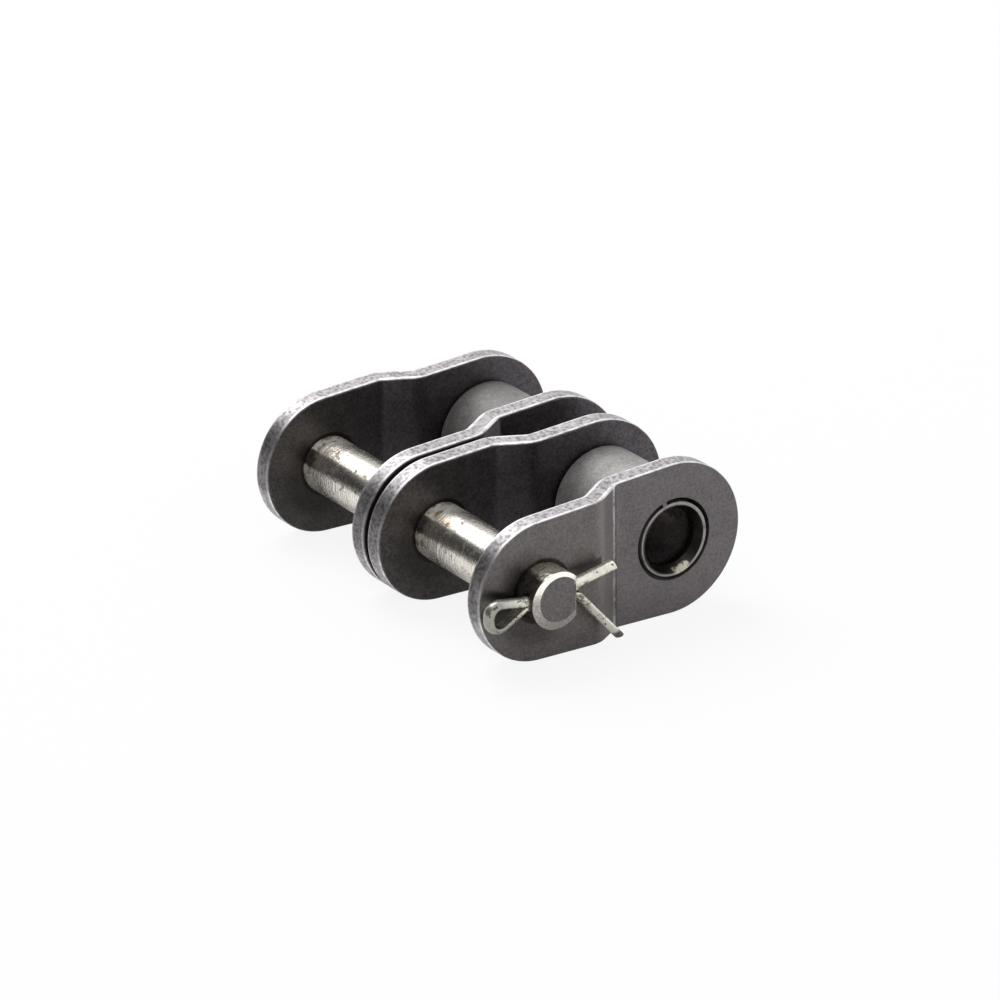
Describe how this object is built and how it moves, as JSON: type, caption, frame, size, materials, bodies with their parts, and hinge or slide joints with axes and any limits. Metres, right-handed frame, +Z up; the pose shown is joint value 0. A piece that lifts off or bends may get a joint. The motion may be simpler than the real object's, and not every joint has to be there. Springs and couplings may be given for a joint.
{
  "type": "offset link of duplex roller chain",
  "caption": "Offset link for duplex roller chain: cranked side plates, rollers on bushes at the narrow end, and a flat-sided pin locked by a split cotter at the wide end.",
  "frame": {"origin": "middle of the near bush's bore", "axes": "+X from the pin's end to the bushes' end, parallel to the floor; +Y along the pin from its cottered end to the far strand; +Z up, with the plates' straight lower edges flat on the floor"},
  "size_m": [0.0484, 0.0637, 0.0234],
  "materials": {
    "plate_steel": "dark, oiled, with bright blanked rims",
    "bush_steel": "ground, dark in the bore",
    "roller_steel": "matt grey",
    "pin_steel": "ground, with brown stains",
    "cotter_wire": "bright drawn wire"
  },
  "bodies": {
    "near_strand": {"near_outer_plate": "plate_steel", "near_inner_plate": "plate_steel", "near_bush": "bush_steel", "connecting_pin": "pin_steel", "cotter_pin": "cotter_wire"},
    "far_strand": {"far_inner_plate": "plate_steel", "far_outer_plate": "plate_steel", "far_bush": "bush_steel"},
    "near_roller": {"near_roller": "roller_steel"},
    "far_roller": {"far_roller": "roller_steel"}
  },
  "joints": [
    {"name": "strand_swing", "type": "hinge", "parent": "near_strand", "child": "far_strand", "pos_m": [-0.02538, 0.02929, -0.001], "axis": [0, 1, 0], "continuous": true},
    {"name": "near_roller_spin", "type": "hinge", "parent": "near_strand", "child": "near_roller", "pos_m": [0, 0, 0], "axis": [0, 1, 0], "continuous": true},
    {"name": "far_roller_spin", "type": "hinge", "parent": "far_strand", "child": "far_roller", "pos_m": [0, 0.02929, 0], "axis": [0, 1, 0], "continuous": true}
  ]
}
